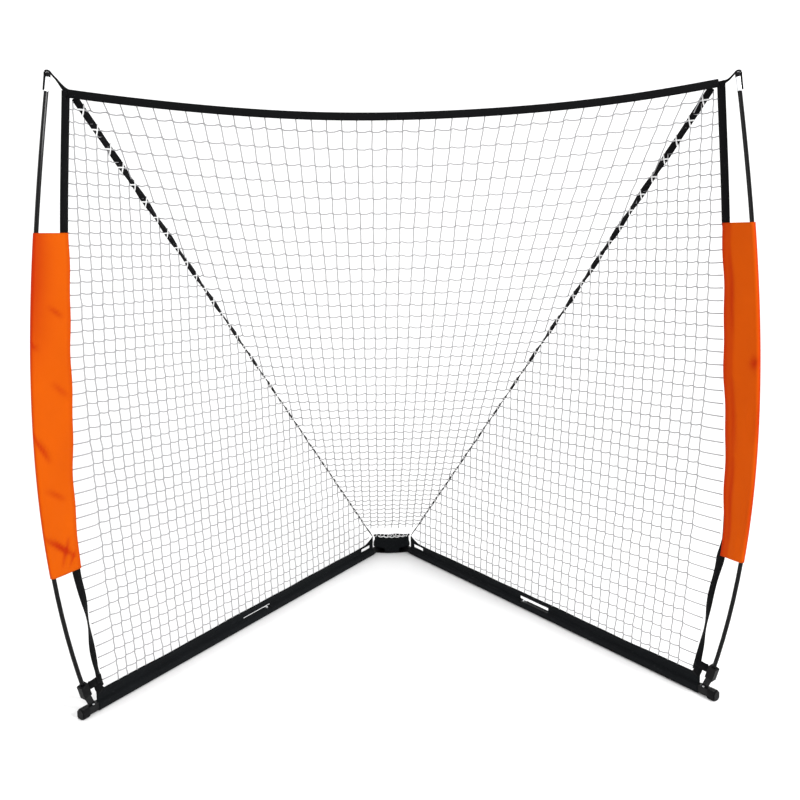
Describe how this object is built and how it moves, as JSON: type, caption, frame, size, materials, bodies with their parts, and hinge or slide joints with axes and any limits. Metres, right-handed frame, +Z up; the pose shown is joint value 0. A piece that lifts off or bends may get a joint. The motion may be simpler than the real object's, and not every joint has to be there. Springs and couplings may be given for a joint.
{
  "type": "golf chipping net",
  "caption": "Free-standing bow-frame net for chipping golf balls into: V legs folding at a rear hub, bowed rods and a three-panel net pocket.",
  "frame": {"origin": "on the ground, midway from the bowed rods at the front to the back of the hub, on the centre line", "axes": "+Z up, the mouth faces -Y, the hub is towards +Y, +X to the right seen from in front of the mouth"},
  "size_m": [1.986, 1.3474, 1.8187],
  "materials": {
    "coated_steel": "satin black powder coat",
    "zinc_steel": "zinc plated, dull",
    "aluminium": "brushed",
    "black_plastic": "moulded, fine grain",
    "fibreglass": "gloss black resin",
    "webbing": "ribbed woven tape",
    "black_cloth": "coated plain weave",
    "orange_cloth": "satin polyester, fine weave",
    "net_twine": "knotted twisted twine"
  },
  "bodies": {
    "hub": {"back_net": "net_twine", "hub_bottom_plate": "coated_steel", "hub_cover": "black_cloth", "hub_ring": "zinc_steel", "hub_stop_block": "coated_steel", "hub_top_plate": "coated_steel", "hub_webbing": "webbing", "left_hub_nut": "zinc_steel", "left_hub_pin": "zinc_steel", "left_hub_rivet": "zinc_steel", "right_hub_nut": "zinc_steel", "right_hub_pin": "zinc_steel", "right_hub_rivet": "zinc_steel", "top_band": "webbing"},
    "left_leg": {"left_bracket_screw_a": "zinc_steel", "left_bracket_screw_b": "zinc_steel", "left_button_spring": "zinc_steel", "left_corner_strap": "webbing", "left_end_cap": "black_plastic", "left_leg_inner_tube": "coated_steel", "left_leg_outer_tube": "coated_steel", "left_leg_spigot": "zinc_steel", "left_lower_strap": "webbing", "left_rib": "webbing", "left_rod_joint": "zinc_steel", "left_rod_lower": "fibreglass", "left_rod_socket": "black_plastic", "left_rod_upper": "fibreglass", "left_side_band": "webbing", "left_side_net": "net_twine", "left_skirt": "black_cloth", "left_sleeve": "orange_cloth", "left_socket_bracket": "coated_steel", "left_tip_cap": "black_plastic", "left_tip_ferrule": "aluminium"},
    "right_leg": {"right_bracket_screw_a": "zinc_steel", "right_bracket_screw_b": "zinc_steel", "right_button_spring": "zinc_steel", "right_corner_strap": "webbing", "right_end_cap": "black_plastic", "right_leg_inner_tube": "coated_steel", "right_leg_outer_tube": "coated_steel", "right_leg_spigot": "zinc_steel", "right_lower_strap": "webbing", "right_rib": "webbing", "right_rod_joint": "zinc_steel", "right_rod_lower": "fibreglass", "right_rod_socket": "black_plastic", "right_rod_upper": "fibreglass", "right_side_band": "webbing", "right_side_net": "net_twine", "right_skirt": "black_cloth", "right_sleeve": "orange_cloth", "right_socket_bracket": "coated_steel", "right_tip_cap": "black_plastic", "right_tip_ferrule": "aluminium"},
    "left_button": {"left_snap_button": "zinc_steel"},
    "right_button": {"right_snap_button": "zinc_steel"}
  },
  "joints": [
    {"name": "left_leg_fold", "type": "hinge", "parent": "hub", "child": "left_leg", "pos_m": [-0.05, 0.62965, 0.0146], "axis": [0, 0, 1], "range_deg": [0, 35.78], "deforming": ["back_net", "top_band"]},
    {"name": "left_button_press", "type": "slide", "parent": "left_leg", "child": "left_button", "axis": [0, 0, -1], "range_m": [0, 0.007], "stiffness_N_per_m": 800, "springref_m": -0.001, "deforming": ["left_button_spring"]},
    {"name": "right_leg_fold", "type": "hinge", "parent": "hub", "child": "right_leg", "pos_m": [0.05, 0.62965, 0.0146], "axis": [0, 0, 1], "range_deg": [-35.78, 0]},
    {"name": "right_button_press", "type": "slide", "parent": "right_leg", "child": "right_button", "axis": [0, 0, -1], "range_m": [0, 0.007], "stiffness_N_per_m": 800, "springref_m": -0.001, "deforming": ["right_button_spring"]}
  ]
}
